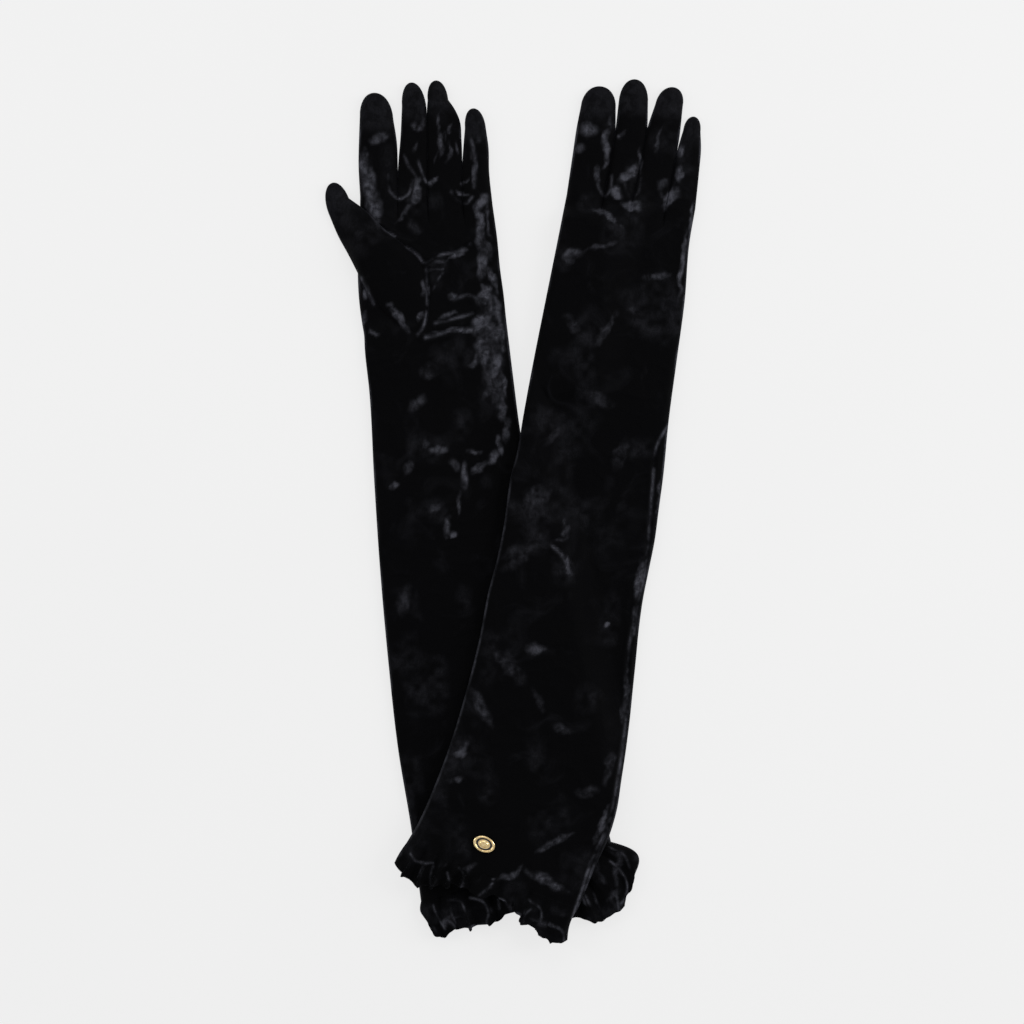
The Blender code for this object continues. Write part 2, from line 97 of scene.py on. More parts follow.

# ---- the two gloves' plans ----
# Edges run from the gathered cuff to the knuckles, the hem from left to right. A finger or thumb is stations
# (left x, y, right x, y), then its tip; a thumb turns from root to end. The side bulge is how far the frill
# stands out at its left and right end, curls are its curled edges, which also get painted highlights, and its
# cut is in metres. Forks are how far past the knuckles neighbouring fingers part. A crease is (width, depth,
# points) and gets a painted highlight along it, and a patch of painted sheen, where the pile lies flattened,
# is (x, y, length, width, turn in degrees, strength).
LEFT = {
    "name": "left", "seed": 11,
    "left": ((-62.4, -268.2), (-69.3, -216.8), (-78.2, -163.3), (-85.1, -101.5), (-90.6, -39.8), (-94.7, 22),
             (-98.1, 83.7), (-101.2, 113), (-101.6, 121.5), (-103, 130), (-105, 145.4), (-106, 166),
             (-104.8, 190), (-104.3, 216.8)),
    "right": ((67.9, -227.1), (56.3, -178.4), (44.9, -127.6), (32.2, -68.6), (19.6, -9.6), (6.5, 49.4),
              (0.2, 96), (-2.9, 121.4), (-4.3, 133.1), (-5.9, 148.9), (-8.5, 168.1), (-10.4, 188),
              (-13.7, 212)),
    "fingers": (
        (((-105.5, 240, -78.9, 238.5), (-105.2, 256, -79.6, 255), (-104.6, 272, -82, 270.5)), (-94.2, 288.7)),
        (((-78.1, 239.5, -58.1, 238), (-76.6, 258, -58.2, 256.5), (-75.6, 279, -59.1, 277.5)),
         (-68.7, 295.8)),
        (((-58.1, 238, -34.4, 236.5), (-58.2, 257, -35, 256), (-58.4, 268, -36.2, 269.5),
         (-58.4, 277, -40, 278), (-57.9, 283.5, -44.2, 284)), (-52.4, 297.2)),
        (((-34.2, 236.5, -16, 235), (-33.2, 252, -16.4, 251), (-32.2, 264.5, -18.2, 264)), (-26.4, 278)),
    ),
    "hem": ((-57, -281), (-55.4, -289.5), (-47.3, -291.6), (-39.8, -286.9), (-26.1, -286.3), (-13.7, -282.2),
            (2.7, -274), (26, -273), (48, -279.5), (60.5, -281), (71.5, -275), (80.3, -264), (83.4, -251)),
    "side_bulge": (3, 11), "frill_cut": (0.39, 0.026), "forks": (20, 58, 36),
    "curls": (
        ((-44.2, -266.4), (-35.6, -267.1), (-32.7, -276.4), (-38.5, -278.3)),
        ((-28.8, -264.8), (-20.2, -267.1), (-16.3, -274.5), (-17.3, -282.2)),
        ((-9.6, -265.8), (-8.6, -272.5)), ((-54, -270), (-50.5, -279), (-46, -286)),
        ((67.6, -239.8), (75.3, -247.5), (79.2, -257.1), (73.4, -272.6)), ((71.5, -261), (73.4, -274)),
        ((67.6, -230.1), (77.2, -235.9), (80.5, -244)), ((56, -262), (60, -272)),
    ),
    "thumb": {
        "stations": ((-68, 122, -60.5, 121), (-80.5, 129.5, -58.4, 135), (-92.5, 141.5, -58.4, 153),
                     (-100.6, 153.5, -62, 171), (-106.4, 165.5, -73.5, 183), (-112, 176.5, -88, 194.3),
                     (-119.4, 190, -100.5, 206.5), (-126.2, 206, -112.5, 215.8)),
        "tip": (-125.3, 226), "root": (-76.5, 153.5), "end": (-92, 176.5),
    },
    "creases": (
        (1, 1.2, ((-85.1, 231.5), (-83.6, 220.5), (-77.5, 215.2), (-71, 218.5), (-68.6, 227.8))),
        (0.9, 0.8, ((-74.1, 244.9), (-70.8, 237.7), (-65.9, 230.5), (-64.5, 224))),
        (0.9, 1, ((-64.5, 241.5), (-61.5, 233), (-57.6, 226.4), (-54.9, 227.8))),
        (1, 1.1, ((-41.8, 220.2), (-36.5, 214), (-31.6, 212), (-27.4, 216.1))),
        (0.9, 1.2, ((-91.2, 196.2), (-85.5, 192), (-80.3, 189.3))),
        (1.2, 0.8, ((-30.5, 267), (-27.8, 255.9), (-25, 237.7), (-26, 223))),
        (1, 1.2, ((-72, 181.8), (-65.5, 177), (-60.4, 171.5), (-50.1, 176.3), (-38, 179), (-28.8, 184.5))),
        (1.1, 1.4, ((-58.6, 166.7), (-58.2, 152), (-58.6, 137.9), (-61, 127), (-64.5, 122.1))),
        (0.9, 0.9, ((-57.6, 166), (-47.3, 166.7))),
        (0.9, 0.9, ((-54.2, 153), (-50.5, 160), (-47.5, 164.5))),
        (1.2, 1.3, ((-103.6, 160.5), (-99, 151), (-94.7, 142.7))),
        (1.4, 1.3, ((-59, 120), (-42.5, 124), (-26.1, 126.9), (-11.7, 129.7))),
        (1.2, 1, ((-52.8, 129.7), (-39, 133), (-26.1, 136.5))),
        (1.3, 0.8, ((-40, 146), (-30, 149), (-18, 143))),
    ),
    "patches": (
        (-98, 221, 46, 10, 105, 1), (-100.5, 238, 22, 6, 92, 0.7), (-91.2, 257.6, 11, 8, 40, 0.75),
        (-65.5, 221, 18, 6, 72, 0.95), (-75, 205, 20, 3, 50, 0.35), (-62.8, 277, 20, 4, 98, 0.7),
        (-66, 264.8, 8, 5, 10, 0.7), (-49.4, 252.4, 16, 3.4, 90, 0.7), (-43.2, 247, 14, 2.6, 88, 0.65),
        (-54.9, 227.8, 5, 4.5, 0, 1), (-50, 268, 14, 2.4, 85, 0.4), (-41.9, 263.1, 7, 3, 80, 0.6),
        (-45.5, 258, 9, 2, 92, 0.45), (-52.8, 244, 10, 2, 84, 0.4), (-38, 252, 9, 2.2, 96, 0.45),
        (-66.5, 252, 9, 2.4, 86, 0.35), (-23.5, 259, 9, 4, 75, 0.55), (-32, 228, 8, 3, 60, 0.55),
        (-29.5, 266, 13, 3, 70, 0.7), (-26, 236, 22, 3.4, 95, 0.8), (-34, 217, 10, 3, -30, 0.7),
        (-21, 212, 12, 7, 80, 0.85), (-21.3, 196, 28, 6.5, 95, 0.95), (-15.5, 199, 20, 2.4, 100, 0.45),
        (-19.5, 172, 22, 6.5, 86, 0.85), (-16, 183, 16, 2.6, 108, 0.55), (-13, 160, 20, 4, 104, 0.75),
        (-19.5, 149, 14, 9, 70, 0.9), (-12, 139, 22, 8, 100, 0.95), (-20.5, 130, 18, 11, 60, 1),
        (-14, 126, 34, 16, 96, 0.5), (-8.5, 122, 22, 5, 98, 0.8), (-19, 113, 22, 10, 100, 0.9),
        (-12, 92, 44, 15, 97, 0.4), (-11, 99, 24, 7, 90, 0.75), (-5, 90, 20, 4, 98, 0.7),
        (-16.5, 84, 14, 6, 60, 0.6), (-8, 72, 22, 7, 105, 0.65), (-3, 56, 16, 5, 80, 0.7),
        (-26, 104, 12, 5, 30, 0.45), (-60, 153, 8, 3.4, 88, 0.95), (-62, 133, 8, 3, 60, 0.6),
        (-76.5, 132, 22, 5, -55, 0.95), (-84, 143, 7, 4, 0, 0.7), (-38, 178.5, 14, 3.4, 22, 0.95),
        (-50, 172.5, 9, 3, 10, 0.6), (-40, 149, 7, 3.4, 10, 0.85), (-44, 134, 14, 3.4, 12, 0.8),
        (-34, 124.5, 44, 3.8, 8, 0.95), (-68, 196, 12, 8, 0, 0.18), (-101.5, 150, 6, 3, 80, 0.75),
        (-101, 134, 9, 4, 75, 0.85), (-94, 124, 9, 3, -40, 0.45), (-50.8, 44, 13, 6, 10, 0.5),
        (-60, 47, 8, 5, 50, 0.35), (-40, 33, 11, 5, -40, 0.55), (-33.4, 24.5, 16, 4, 82, 0.85),
        (-36.5, 6, 16, 3, 88, 0.5), (-22, 30, 12, 5, 24, 0.7), (-13, 37, 12, 6, 60, 0.8),
        (-7.5, 45, 14, 4, 100, 0.75), (-26, 41, 9, 3, 10, 0.55), (-80, 18.6, 7, 4.5, 30, 0.75),
        (-71, 31, 10, 6, 60, 0.4), (-46, -8.9, 17, 4, 85, 0.6), (-41.5, -14, 6, 4.5, 0, 0.95),
        (-52, 4, 12, 5, 30, 0.35), (-74, -60, 22, 8, 80, 0.25), (-64, 74, 16, 8, 50, 0.3),
        (-58, 96, 14, 9, 10, 0.28), (-24, -284, 14, 3, 20, 0.55), (-44, -281, 10, 5, 60, 0.5),
        (74, -244, 20, 5, 80, 0.6), (70, -262, 12, 5, 40, 0.45),
    ),
}
RIGHT = {
    "name": "right", "seed": 37,
    "left": ((-72, -226.4), (-66.2, -216.8), (-50.8, -182.5), (-40.1, -153), (-32.9, -129), (-22, -86.4),
             (-15.8, -54.2), (-10.3, -33.6), (-5.5, -10.3), (-0.7, 23.3), (4.1, 42.5), (7.5, 63.1),
             (15.1, 104.3), (23.3, 145.4), (31.6, 186.6), (38, 219)),
    "right": ((45.3, -270.3), (56.9, -242.2), (65.9, -222.3), (71.3, -204.4), (74.8, -183.8), (78.2, -163.3),
              (80.9, -142.7), (83, -122.1), (85.1, -101.5), (87.1, -80.9), (89.9, -60.4), (94, -39.8),
              (98.1, -19.2), (100.8, 1.4), (103.6, 22), (107.7, 63.1), (113.2, 104.3), (118.7, 145.4),
              (122.1, 186.6), (126, 209)),
    "fingers": (
        (((42, 246, 68.5, 244), (45, 266, 71, 263), (47.6, 279, 71.2, 277.5)), (60.8, 293.2)),
        (((68.6, 244.2, 88.9, 241.2), (71.4, 262.5, 92.9, 263.5), (73.8, 283, 93.4, 281)), (85, 298)),
        (((89, 241.2, 111.4, 238), (93.2, 263.5, 114.8, 256), (99, 281, 117.4, 279.5)), (110.8, 292.6)),
        (((111.5, 238, 128.8, 236), (114.9, 252, 130, 250), (118.2, 263, 129.6, 262)), (125.2, 272.3)),
    ),
    "hem": ((-80.2, -240), (-78, -243.4), (-65.2, -254.4), (-54.2, -255.9), (-44, -254), (-32.9, -256.2),
            (-24.7, -262.7), (-14, -262), (-4.8, -264.1), (7.5, -279.9), (19.2, -288.1), (31, -294.6),
            (37.6, -292.5)),
    "side_bulge": (0.5, -2), "frill_cut": (0.36, 0.019), "forks": (42, 46, 36),
    "curls": (
        ((-69.3, -233), (-65.5, -237.8), (-53.9, -239.2)),
        ((-53.9, -241.7), (-55.8, -248.4), (-55.3, -253.6)),
        ((-36, -242.6), (-33.1, -247.5), (-34.6, -257.1)), ((-23, -261.4), (-17.3, -257.1), (-13.4, -253.2)),
        ((-14.4, -263.8), (-5.7, -264.4), (-1.8, -271.6), (5.9, -274.5)),
        ((11.7, -264.4), (19.7, -271.6), (19, -278.7), (11.7, -277.4)),
        ((25.1, -280.6), (34.4, -286), (35.2, -291.8)), ((-44, -246), (-42.5, -252)),
        ((-13, -250), (-5.7, -245.5), (4.9, -244)),
    ),
    "thumb": {
        "stations": ((22.5, 108.5, 47.5, 106), (23.8, 122, 48.6, 119), (27.4, 140, 50.4, 138),
                     (33, 160, 52.8, 159), (38.4, 178, 54.8, 177.5), (41.8, 187, 55.6, 186.6)),
        "tip": (48.8, 194.3), "root": (35, 111.3), "end": (38.8, 134),
    },
    "creases": (
        (1.1, 1.1, ((107.7, 60), (100.2, 47.3), (96.7, 18.5), (93.3, -22), (90.6, -46), (85.1, -69.3),
               (80.3, -93.3), (78.9, -135.8), (71.3, -188.7), (67.9, -205.1), (57.6, -236), (50, -258))),
        (1.1, 1.3, ((69.3, -205.5), (61.4, -222.4), (53.4, -240), (46.6, -261), (41, -277))),
        (1.2, 1.3, ((35.7, -5.5), (37.4, -17.2), (26.8, -20.6), (33.6, -28.8), (40.5, -41.8))),
        (1, 0.6, ((58, 232), (60.5, 221), (64, 217), (67.5, 221), (68.5, 231))),
        (1, 0.6, ((77, 230), (79.5, 219), (83, 215), (86.5, 219), (88.5, 229))),
        (1, 0.6, ((101, 226), (103.5, 216), (107, 212), (110, 216), (112, 226))),
    ),
    "patches": (
        (15.8, 9, 24, 13, 30, 0.3), (9.3, -25.2, 30, 9, 18, 0.17), (4, -34, 22, 6, 24, 0.14),
        (14, -16, 20, 5, -14, 0.14), (35, -14, 10, 5, 60, 0.5), (39, -36, 13, 2.8, -58, 0.85),
        (64.5, -77, 5, 4, 60, 1), (17.3, -93.3, 12, 6, 0, 0.5), (-3.7, -104, 34, 9, -50, 0.3),
        (-22, -132, 28, 8, -62, 0.34), (-34, -163, 14, 5, 58, 0.72), (-39, -182, 10, 4, 10, 0.5),
        (35.2, -148.5, 14, 6, -10, 0.34), (19, -130, 18, 5, -70, 0.2), (28.7, -226.3, 24, 5, 30, 0.5),
        (23.8, -252, 26, 6.5, -27, 0.75), (-0.5, -245.8, 18, 4, 20, 0.65), (-30, -242, 8, 5, 0, 0.5),
        (88, -47, 24, 7, 82, 0.75), (84, -76, 20, 4, 80, 0.55), (101.5, 14, 40, 3.6, 82, 0.6),
        (78, -128, 34, 5, 86, 0.45), (62, -212, 26, 4, 64, 0.6), (66, -176, 20, 6, 75, 0.3),
        (52.7, 263, 13, 10, 20, 0.8), (46, 250, 9, 7, 0, 0.45), (64.5, 250.4, 26, 5, 82, 0.95),
        (68.8, 275, 18, 2.6, 88, 0.7), (59.5, 232, 12, 2.6, 100, 0.7), (75, 259, 9, 4, 60, 0.6),
        (80, 232.5, 17, 7, 55, 0.85), (88, 243, 18, 2.6, 86, 0.75), (72, 219.5, 11, 6, -30, 0.95),
        (81.6, 210.8, 12, 7, -10, 0.85), (67.2, 201.7, 26, 4.5, -42, 0.58), (41, 175, 15, 7, 20, 0.45),
        (60.8, 182, 22, 4, 18, 0.38), (100, 255, 18, 2.6, 84, 0.4), (109.7, 216, 16, 7, 50, 0.75),
        (117.5, 248.5, 9, 6, 80, 0.95), (116, 233, 13, 4, 82, 0.9), (103, 226, 10, 7, 70, 0.3),
        (100.6, 161.7, 18, 4.5, 12, 0.45), (117.5, 170, 44, 3.4, 84, 0.8), (123.5, 204, 18, 3, 82, 0.75),
        (64.5, 125.5, 26, 5, 52, 0.28), (41, 128, 13, 7, -40, 0.26), (84, 138, 12, 6, 0, 0.22),
        (60, 78, 20, 8, -30, 0.22), (30, 52, 16, 7, 40, 0.2), (75, 40, 20, 8, 70, 0.18),
        (50, -190, 16, 7, 20, 0.2),
    ),
}
PLAQUE_AT = (-19.0, -226.0)
PLAQUE_TURN = math.radians(-22)


# ---- number helpers ----
def lerp(a, b, t):
    return a + (b - a) * t


def smooth(t):
    t = np.clip(t, 0.0, 1.0)
    return t * t * (3 - 2 * t)


def ramp(value, start_span):
    return smooth((value - start_span[0]) / start_span[1])


def curve(points, t):
    """Points on the smooth curve through the given ones, at shares t of its length."""
    p = np.asarray(points, float)
    t = np.asarray(t, float)
    chord = np.r_[0, np.cumsum(np.linalg.norm(np.diff(p, axis=0), axis=1))]
    chord /= chord[-1]
    slope = np.gradient(p, chord, axis=0)
    k = np.clip(np.searchsorted(chord, t, side="right") - 1, 0, len(p) - 2)
    span = (chord[k + 1] - chord[k])[..., None]
    f = (t - chord[k])[..., None] / span
    return ((2 * f ** 3 - 3 * f ** 2 + 1) * p[k] + (f ** 3 - 2 * f ** 2 + f) * span * slope[k]
            + (3 * f ** 2 - 2 * f ** 3) * p[k + 1] + (f ** 3 - f ** 2) * span * slope[k + 1])


def lattice(ix, iy, seed):
    h = (ix.astype(np.uint64) * np.uint64(374761393) + iy.astype(np.uint64) * np.uint64(668265263)
         + np.uint64(seed * 974711)) & np.uint64(0xFFFFFFFF)
    h = ((h ^ (h >> np.uint64(13))) * np.uint64(1274126177)) & np.uint64(0xFFFFFFFF)
    return ((h ^ (h >> np.uint64(16))) & np.uint64(0xFFFF)).astype(float) / 32767.5 - 1


def noise(x, y, size, seed):
    """Smooth noise from -1 to 1 with cells of the given size."""
    gx, gy = np.asarray(x) / size + 500.0, np.asarray(y) / size + 500.0
    ix, iy = np.floor(gx), np.floor(gy)
    fx, fy = smooth(gx - ix), smooth(gy - iy)
    low = lerp(lattice(ix, iy, seed), lattice(ix + 1, iy, seed), fx)
    high = lerp(lattice(ix, iy + 1, seed), lattice(ix + 1, iy + 1, seed), fx)
    return lerp(low, high, fy)


def ridges(x, y, size, seed):
    """Sharp-crested folds, from -1 in the valleys to 1 on the crests."""
    bend_x = x + 0.35 * size * noise(x, y, size * 1.7, seed + 1)
    bend_y = y + 0.35 * size * noise(x, y, size * 1.7, seed + 2)
    return 1 - 2 * np.sqrt(np.abs(noise(bend_x, bend_y, size, seed)) + 0.004)


def distance_to(points, x, y):
    """Distance from each place to a smooth line through the points."""
    best = np.full(np.shape(x), 1e9)
    points = curve(points, np.linspace(0, 1, 5 * len(points)))
    for (x0, y0), (x1, y1) in zip(points, points[1:]):
        dx, dy = x1 - x0, y1 - y0
        f = np.clip(((x - x0) * dx + (y - y0) * dy) / (dx * dx + dy * dy), 0, 1)
        best = np.minimum(best, np.hypot(x - x0 - f * dx, y - y0 - f * dy))
    return best


# ---- where the cloth lies ----
def edge_x(glove, side, y):
    """x of a glove's left or right edge at y; past the cuff it runs straight on."""
    p = np.asarray(glove[side], float)
    inside = np.interp(y, p[:, 1], p[:, 0])
    slope = (p[1, 0] - p[0, 0]) / (p[1, 1] - p[0, 1])
    return np.where(y < p[0, 1], p[0, 0] + (y - p[0, 1]) * slope, inside)


def lift(glove, x, y):
    """How far the glove's lower side is above the table."""
    if glove is LEFT:
        return np.zeros(np.shape(x))
    beside = x - edge_x(LEFT, "right", y)
    on_lower = OVER_LOWER * (1 - ramp(beside, DOWN_BESIDE_SLEEVE)) * (1 - ramp(y, DOWN_ABOVE_CROSSING))
    left, right = edge_x(RIGHT, "left", y), edge_x(RIGHT, "right", y)
    across = (x - left) / (right - left)
    on_thumb = OVER_THUMB * (1 - ramp(across, DOWN_BESIDE_THUMB)) * ramp(y, UP_ON_THUMB)
    on_thumb = on_thumb * (1 - ramp(y, DOWN_PAST_THUMB))
    return np.maximum(on_lower, on_thumb)


def crown(d, half, radius):
    """Rise of a flattened tube's upper side at distance d from its edge, from 0 to 1."""
    turn = 1 - np.clip(d / radius, 0, 1)
    rise = 1 - np.clip(d / np.maximum(half, 0.1), 0, 1)
    return 0.76 * np.sqrt(np.maximum(0, 1 - turn ** 2)) + 0.24 * (1 - rise ** 2)


def under(d):
    turn = 1 - np.clip(d / UNDER_RADIUS, 0, 1)
    return np.sqrt(np.maximum(0, 1 - turn ** 2))


PUCKERS = 10  # gathers across one side of a cuff


def pucker_phase(glove, s):
    uneven = 0.75 * noise(s * 5, 0, 1.0, glove["seed"] + 5)
    return PUCKERS * s + uneven + 0.3 * noise(s * 13, 0, 1.0, 4)


def gathers(glove, s, away):
    """Radial folds that the elastic draws into the cloth, dying out away from it."""
    strength = 1 + 0.5 * noise(s * 14, 3, 1.0, glove["seed"] + 6)
    fold = np.abs(np.sin(math.pi * pucker_phase(glove, s)))
    return -1.3 * strength * (1 - fold) ** 1.5 * np.exp(-away / 9.0) + 0.45 * fold * np.exp(-away / 14.0)


# (height, size, x and y stretch, seed) of the cloth's own folds
FOLDS = ((0.55, 24, 1.3, 1.0, 10), (0.26, 11, 1.0, 1.15, 20), (0.08, 4.5, 1.0, 1.0, 30))


def relief(glove, x, y, calm):
    """Folds and creases of the upper side, in millimetres. calm is from 0 (free) to 1 (smooth)."""
    seed = glove["seed"]
    z = 0.75 * noise(x * 1.2, y, 38, seed)
    for height, size, stretch_x, stretch_y, more in FOLDS:
        z = z + height * ridges(x * stretch_x, y * stretch_y, size, seed + more)
    z = z * lerp(1.0, 0.25, calm)
    for width, depth, points in glove["creases"]:
        d = distance_to(points, x, y)
        banks = np.exp(-((d - 2.4 * width) / (1.3 * width)) ** 2)
        z = z - depth * np.exp(-(d / width) ** 2) + 0.45 * depth * banks
    if glove is RIGHT:
        near = np.exp(-(np.hypot(x - PLAQUE_AT[0], y - PLAQUE_AT[1]) / 10.0) ** 4)
        z = lerp(z, 0.1, near)
    return z


def crushed(glove, x, y):
    """How much painted sheen lightens the colour, from 0 to 1: in patches where the pile lies flattened, and
    as painted highlights along creases.
    """
    seed = glove["seed"]
    edge = 0.5 + 0.5 * ridges(x, y, 7, seed + 41)
    # Faint clouds of painted sheen.
    value = 0.11 * np.clip(1.5 * noise(x, y * 0.8, 17, seed + 40) - 0.35, 0, 1)
    value = value * np.clip(0.55 + 0.7 * noise(x, y, 5, seed + 46), 0, 1)
    wx = x + 2.0 * noise(x, y, 8, seed + 42) + 1.0 * noise(x, y, 3.0, seed + 48)
    wy = y + 2.4 * noise(x, y, 8, seed + 43) + 1.2 * noise(x, y, 3.0, seed + 49)
    grain = 0.64 + 0.3 * edge + 0.5 * noise(1.4 * x, 0.6 * y, 4.6, seed + 47)
    grain = np.clip(grain + 0.4 * noise(x, y, 2.1, seed + 51), 0.15, 1.15)
    # Patches of painted sheen.
    for px, py, length, width, turn, strength in glove["patches"]:
        c, s = math.cos(math.radians(turn)), math.sin(math.radians(turn))
        a = ((wx - px) * c + (wy - py) * s) / (0.5 * length)
        b = ((wy - py) * c - (wx - px) * s) / (0.5 * width)
        r = np.sqrt(a * a + b * b)
        value = np.maximum(value, strength * (1 - smooth((r - 0.35) / 1.0)) * grain)
    # Painted highlights along the creases.
    for width, depth, points in glove["creases"]:
        d = distance_to(points, x, y)
        broken = np.clip(0.62 + 0.7 * noise(x, y, 9, seed + 44) + 0.5 * noise(x, y, 3.5, seed + 50), 0.05, 1)
        value = np.maximum(value, min(0.9, 0.7 * depth) * np.exp(-(d / (0.85 * width)) ** 2) * broken)
    return np.clip(value, 0, 1)


def with_painted_rim(glove, crush, x, y, d):
    """Broken pale lines of painted rim highlight along a folded edge, where the pile catches the light."""
    broken = np.clip(0.25 + 0.8 * noise(x, y, 13, glove["seed"] + 45), 0, 1)
    return np.maximum(crush, 0.7 * broken * np.exp(-((d - 0.4) / 0.6) ** 2))


# ---- one glove's skin ----
def crowded(f, share):
    """Places from -1 to 1 for f from 0 to 1, drawn together towards both sides."""
    return lerp(2 * f - 1, -np.cos(math.pi * f), share)


def length_of(points):
    return np.linalg.norm(np.diff(points, axis=0), axis=1).sum()


def side_length(glove):
    return length_of(curve(glove["left"], np.linspace(0, 1, 40)))


def direction(x, y):
    """Unit direction across a row, from its left edge to its right one."""
    across = np.array([x[-1] - x[0], y[-1] - y[0]])
    return across / np.linalg.norm(across)


def column_shares():
    """Across the hand and at the knuckles: each column's share, and its place and sides within its finger."""
    hand = 0.5 + 0.5 * crowded(np.arange(ALL_COLUMNS + 1) / ALL_COLUMNS, 0.35)
    place, knuckle, width = np.zeros((3, ALL_COLUMNS + 1))
    start = 0
    for n in COLUMNS:
        e = crowded(np.arange(n + 1) / n, FINGER_CROWDING)
        finger = slice(start, start + n + 1)
        place[finger] = e
        knuckle[finger] = (start + n * (0.5 + 0.5 * e)) / ALL_COLUMNS
        width[finger] = n / ALL_COLUMNS
        start += n
    return hand, knuckle, place, width


def finger_levels(k, e):
    """Height of the sides of finger k, as a share of the glove's height, at places e across it."""
    left = EDGE_LEVEL if k == 0 else VALLEY_LEVEL
    right = EDGE_LEVEL if k == 3 else VALLEY_LEVEL
    return lerp(left, right, (e + 1) / 2)


def parted(glove, k, along):
    """How far each side of finger k has parted from its neighbour, from 0 to 1."""
    forks = glove["forks"]
    left = 1.0 if k == 0 else float(smooth((along - forks[k - 1]) / PARTING))
    right = 1.0 if k == 3 else float(smooth((along - forks[k]) / PARTING))
    return left, right


class Skin:
    """Points and faces of a glove, with the piece that each face belongs to."""

    def __init__(self):
        self.points, self.crush, self.faces, self.owner = [], [], [], []
        self.count = 0

    def add(self, xyz, crush):
        xyz = np.asarray(xyz, float).reshape(-1, 3)
        self.points.append(xyz)
        self.crush.append(np.broadcast_to(crush, (len(xyz),)))
        self.count += len(xyz)
        return np.arange(self.count - len(xyz), self.count)

    def rings(self, rows, owner):
        for low, high in zip(rows, rows[1:]):
            for i in range(len(low)):
                j = (i + 1) % len(low)
                self.faces.append((low[i], low[j], high[j], high[i]))
                self.owner.append(owner)

    def cap(self, ring_ids, centre, owner):
        for i in range(len(ring_ids)):
            self.faces.append((ring_ids[i], ring_ids[(i + 1) % len(ring_ids)], centre))
            self.owner.append(owner)

    def joined(self):
        return np.concatenate(self.points), np.concatenate(self.crush)


def ring(x, y, top, low, across, bulge=0.25):
    """One ring: over the upper side, down the right edge, back along the lower side, up the left edge."""
    upper, lower = np.stack([x, y, top], axis=1), np.stack([x, y, low], axis=1)
    left, right = (upper[0] + lower[0]) / 2, (upper[-1] + lower[-1]) / 2
    left[:2] -= across * bulge
    right[:2] += across * bulge
    return np.concatenate([upper, [right], lower[::-1], [left]])


def ring_tone(crush, below=0.3):
    """The painted sheen of a ring's points; the lower side, which faces the table, gets only the share below
    of it.
    """
    return np.concatenate([crush, [crush[-1]], below * crush[::-1], [crush[0]]])


def halves(hand_ring):
    """Ids of a hand ring's upper and lower points, both from left to right."""
    return hand_ring[:ALL_COLUMNS + 1], hand_ring[ALL_COLUMNS + 2:2 * ALL_COLUMNS + 3][::-1]


def hand_section(glove, u, s, away, knuckles=None):
    """Upper and lower points at shares s across one or more rows. knuckles shapes the rows into fingers."""
    left, right = curve(glove["left"], u), curve(glove["right"], u)
    width = np.linalg.norm(right - left, axis=-1)[..., None]
    xy = left[..., None, :] * (1 - s[..., None]) + right[..., None, :] * s[..., None]
    x, y = xy[..., 0], xy[..., 1]
    height = lerp(CUFF_HEIGHT, HAND_HEIGHT, ramp(u, FLATTER_PAST_CUFF))[..., None]
    d = np.minimum(s, 1 - s) * width
    rise, drop, levels, free = crown(d, width / 2, EDGE_RADIUS), under(d), EDGE_LEVEL, smooth(d / 3.5)
    if knuckles is not None:
        knuckled, place, width_share = knuckles
        k = knuckled[..., None]
        fd = (1 - np.abs(place)) / 2 * width_share * width
        rise = lerp(rise, crown(fd, width_share * width / 2, EDGE_RADIUS), k)
        drop = lerp(drop, under(fd), k)
        finger_of = np.r_[np.repeat(np.arange(4), COLUMNS), 3]
        inner = np.array([finger_levels(f, e) for f, e in zip(finger_of, place)])
        levels = lerp(EDGE_LEVEL, inner, k)
        free = free * lerp(1.0, smooth(fd / 3.0), k)
    z0 = lift(glove, x, y)
    folds = relief(glove, x, y, 0.0) * ramp(away, FOLDS_PAST_CUFF)[..., None]
    top = z0 + height * (levels + (1 - levels) * rise) + free * folds
    top += smooth(d / 6.0) * gathers(glove, s, away[..., None])
    low = z0 + FLOOR_GAP + height * UNDER_LEVEL * (1 - drop)
    low += smooth(d / 5.0) * 0.5 * (0.5 + 0.5 * ridges(x, y, 18, glove["seed"] + 60))
    return x, y, np.maximum(top, low + LEAST_INSIDE), low, d


def build_hand(glove, skin):
    u = np.linspace(0, 1, ROWS + 1)
    hand, knuckle, place, width_share = column_shares()
    s = lerp(hand[None], knuckle[None], ramp(u, COLUMNS_FAN_OUT)[:, None])
    x, y, top, low, d = hand_section(glove, u, s, u * side_length(glove),
                                     (ramp(u, FINGERS_RISE), place, width_share))
    # Painted sheen in patches and along creases, and painted rim highlights along the edges.
    crush = with_painted_rim(glove, crushed(glove, x, y), x, y, d)
    rows = []
    for r in range(ROWS + 1):
        across = direction(x[r], y[r])
        rows.append(skin.add(ring(x[r], y[r], top[r], low[r], across), ring_tone(crush[r])))
    skin.rings(rows, "hand")
    return rows[-1]


def row_across(a, b, e):
    """Points at places e from edge a to edge b, their distance from the edges, the width and direction."""
    xy = a + (b - a) * ((e + 1) / 2)[:, None]
    width = np.linalg.norm(b - a)
    return xy[:, 0], xy[:, 1], (1 - np.abs(e)) / 2 * width, width, (b - a) / max(width, 1e-6)


def rounded_end(left, right, tip):
    """Rows that round a finger off to its tip: left, right, fullness and distance past the last station."""
    centre, half = (left + right) / 2, (right - left) / 2
    rows = []
    for angle in np.sin(np.linspace(0, 1, TIP_ROWS + 1)[1:-1] * math.pi / 2) ** 0.9 * math.pi / 2:
        c, w = centre + (tip - centre) * math.sin(angle), half * math.cos(angle) ** 0.9
        rows.append((c - w, c + w, math.cos(angle), np.linalg.norm(tip - centre) * math.sin(angle)))
    return rows


def drawn_in(middle, full, *heights):
    """Heights drawn in towards the middle one as a finger rounds off."""
    return (middle + (z - middle) * full ** 0.7 for z in heights)


